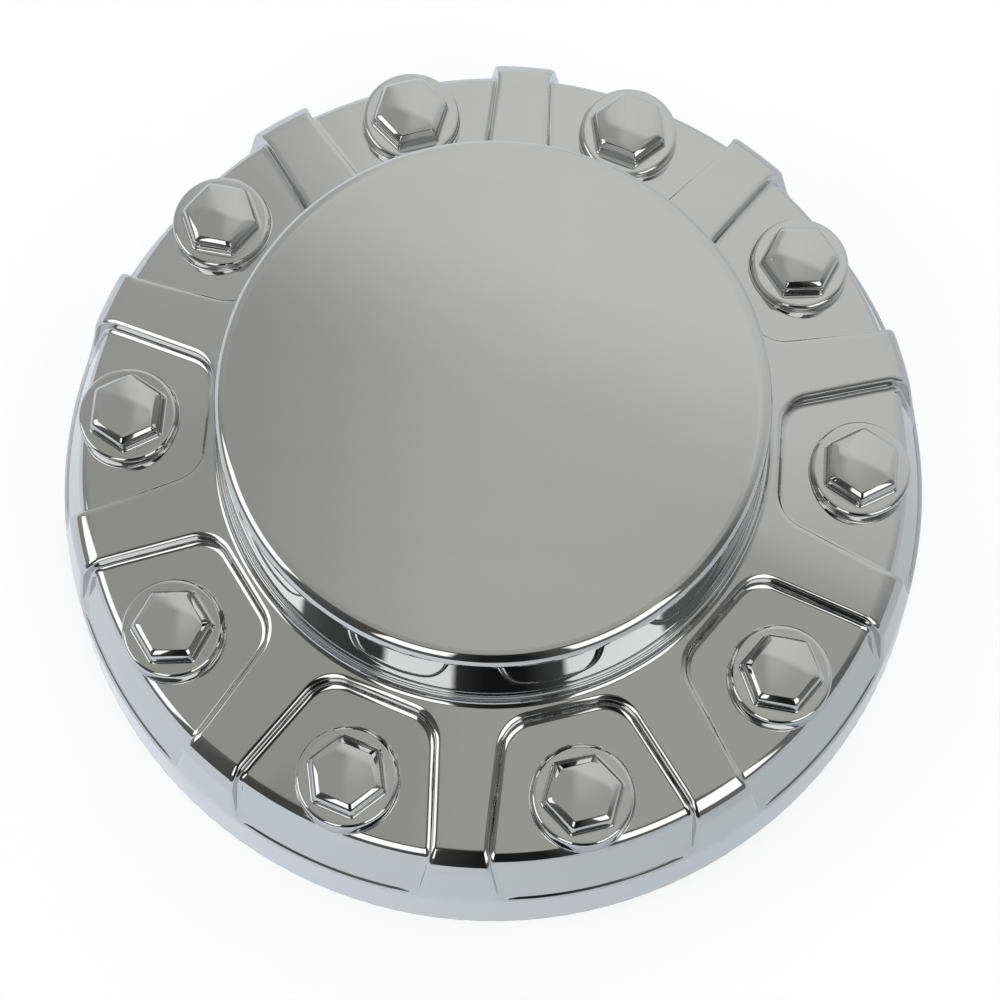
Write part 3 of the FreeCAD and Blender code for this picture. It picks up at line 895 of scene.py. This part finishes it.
# The roof is brightest under its lamp and darker on the left; it comes down lower at the sides
LAMP_NORTH = 0.33 * TENT
LAMP_EDGE = 0.36 * TENT
LAMP_CORE = 0.03 * TENT
LEFT_FROM = -0.02 * TENT
LEFT_TO = -0.14 * TENT
ROOF_CLOTH = cloth_colour(149, ROOF_WARMTH)
LAMP_CLOTH = cloth_colour(164, ROOF_WARMTH)
LEFT_CLOTH = cloth_colour(141, ROOF_WARMTH)
SIDES_FROM, SIDES_TO = 50, 72
SIDES_LOWER = 14
ROOF_FROM, ROOF_TO = 61, 69
off_lamp = distance_node(east, math_node("SUBTRACT", north, LAMP_NORTH))
lamp_share = fade(off_lamp, LAMP_EDGE, LAMP_CORE)
roof = mix_cloth(lamp_share, ROOF_CLOTH, LAMP_CLOTH)
roof = mix_cloth(fade(east, LEFT_FROM, LEFT_TO), roof, LEFT_CLOTH)
at_sides = fade(math_node("ABSOLUTE", turn), SIDES_FROM, SIDES_TO)
roof_rise = math_node("ADD", rise, math_node("MULTIPLY", at_sides, SIDES_LOWER))
cloth_light = mix_cloth(fade(roof_rise, ROOF_FROM, ROOF_TO), wall_cloth.outputs[0], roof)

# The back wall comes up in front of the roof with a slanting edge
BACK_SKEW = 0.37
BACK_LEAN = 0.38
BACK_FROM = -0.05 * TENT
BACK_TO = 0.045 * TENT
skewed = math_node("MULTIPLY", east, BACK_SKEW)
leaning = math_node("MULTIPLY", high, BACK_LEAN)
back_edge = math_node("ADD", north, math_node("SUBTRACT", skewed, leaning))
at_back = fade(back_edge, BACK_FROM, BACK_TO)
cloth_light = mix_cloth(at_back, cloth_light, wall_cloth.outputs[0])

# Left, right, low and top edge of each light window in degrees, and how soft the edges are
LIGHT_WINDOWS = ((-97, -60, 20, 50), (-30, -8, 24, 57), (27, 60, 20, 54))
WINDOW_LIGHT = (1.9, 1.87, 1.82, 1)
SOFT_SIDE = 1.5
SOFT_EDGE = 2
for left, right, low, top in LIGHT_WINDOWS:
    past_left = fade(turn, left - SOFT_SIDE, left + SOFT_SIDE)
    before_right = fade(turn, right + SOFT_SIDE, right - SOFT_SIDE)
    over_low = fade(rise, low - SOFT_EDGE, low + SOFT_EDGE)
    under_top = fade(rise, top + SOFT_EDGE, top - SOFT_EDGE)
    across_window = math_node("MULTIPLY", past_left, before_right)
    up_window = math_node("MULTIPLY", over_low, under_top)
    cloth_light = mix_cloth(math_node("MULTIPLY", across_window, up_window), cloth_light, WINDOW_LIGHT)

shine = nodes.new("ShaderNodeEmission")
links.new(cloth_light, shine.inputs["Color"])
out = nodes.new("ShaderNodeOutputMaterial")
links.new(shine.outputs[0], out.inputs["Surface"])
tent.data.materials.append(cloth)

# The room round the paper and the tent: plain white, seen past the paper's edge, with soft light.
world = bpy.data.worlds.new("white_room")
scene.world = world
world.use_nodes = True
room_light = world.node_tree.nodes["Background"]
room_light.inputs["Color"].default_value = (1, 1, 1, 1)
room_light.inputs["Strength"].default_value = 1.0

# The camera stands where the photograph was taken from.
camera_data = bpy.data.cameras.new("camera")
camera_data.lens = 91.37
camera_data.sensor_width = 36.0
camera_data.clip_start = 0.01
camera = bpy.data.objects.new("camera", camera_data)
scene.collection.objects.link(camera)
back = Vector((0.0213, -0.2969, 0.9547)).normalized()
right = Vector((0.9970, 0.0775, 0.0019))
right = (right - back * right.dot(back)).normalized()
up = back.cross(right)
place = Vector((0.0199, -0.2475, 0.7937))
camera.matrix_world = Matrix.Translation(place) @ Matrix((right, up, back)).transposed().to_4x4()
scene.camera = camera
scene.view_settings.view_transform = "Standard"
